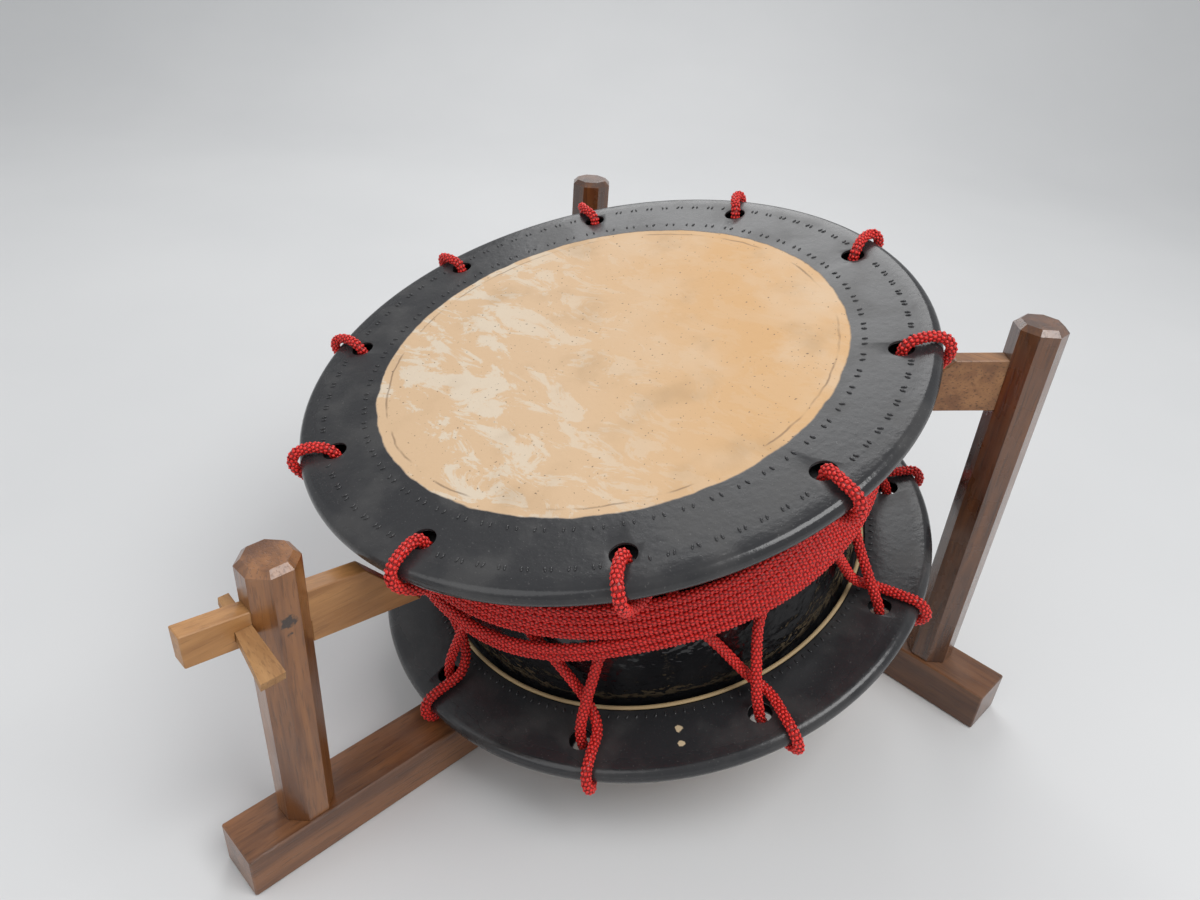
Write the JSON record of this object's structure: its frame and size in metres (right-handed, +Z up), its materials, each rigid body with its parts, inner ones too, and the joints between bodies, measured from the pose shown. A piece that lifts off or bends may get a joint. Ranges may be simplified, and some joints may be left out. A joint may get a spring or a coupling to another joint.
{
  "type": "shime daiko on stand",
  "caption": "Rope-laced Japanese drum with two hide heads over iron rings, red lacing and waist winding, sitting tilted in a three-post wooden stand with bevelled arms and a wedge",
  "frame": {"origin": "middle of the bounding box, on the floor", "axes": "+X is the stand's right side, +Y runs from the stem's free end to the cross beam, +Z is up"},
  "size_m": [0.4222, 0.4658, 0.2846],
  "materials": {
    "base_wood": "brown stained hardwood with worn edges",
    "dark_varnished_wood": "dark brown varnish, satin gloss",
    "pale_arm_wood": "light tan bare wood",
    "oak_arm_wood": "brown open-grained wood",
    "wedge_wood": "pale tan wood, rough end grain",
    "black_lacquer": "glossy black lacquer over wood",
    "lacquered_hide": "hide, grey-black satin lacquer round a bare pale middle",
    "ring_iron": "dark forged iron, hidden in the hide",
    "red_cord": "bright red braided cord"
  },
  "bodies": {
    "stand": {"base_stem": "base_wood", "base_cross": "base_wood", "post_front": "dark_varnished_wood", "post_right": "dark_varnished_wood", "post_left": "dark_varnished_wood", "arm_front": "pale_arm_wood", "arm_right": "oak_arm_wood", "arm_left": "oak_arm_wood"},
    "wedge": {"arm_wedge": "wedge_wood"},
    "drum": {"drum_body": "black_lacquer", "head_upper": "lacquered_hide", "head_lower": "lacquered_hide", "ring_upper": "ring_iron", "ring_lower": "ring_iron", "lacing_rope": "red_cord", "waist_rope": "red_cord"}
  },
  "joints": [
    {"name": "wedge_slide", "type": "slide", "parent": "stand", "child": "wedge", "axis": [0.9744, 0, -0.225], "range_m": [0, 0.05]},
    {"name": "drum_lift", "type": "slide", "parent": "stand", "child": "drum", "axis": [-0.0771, -0.2787, 0.9573], "range_m": [0, 0.06]}
  ]
}
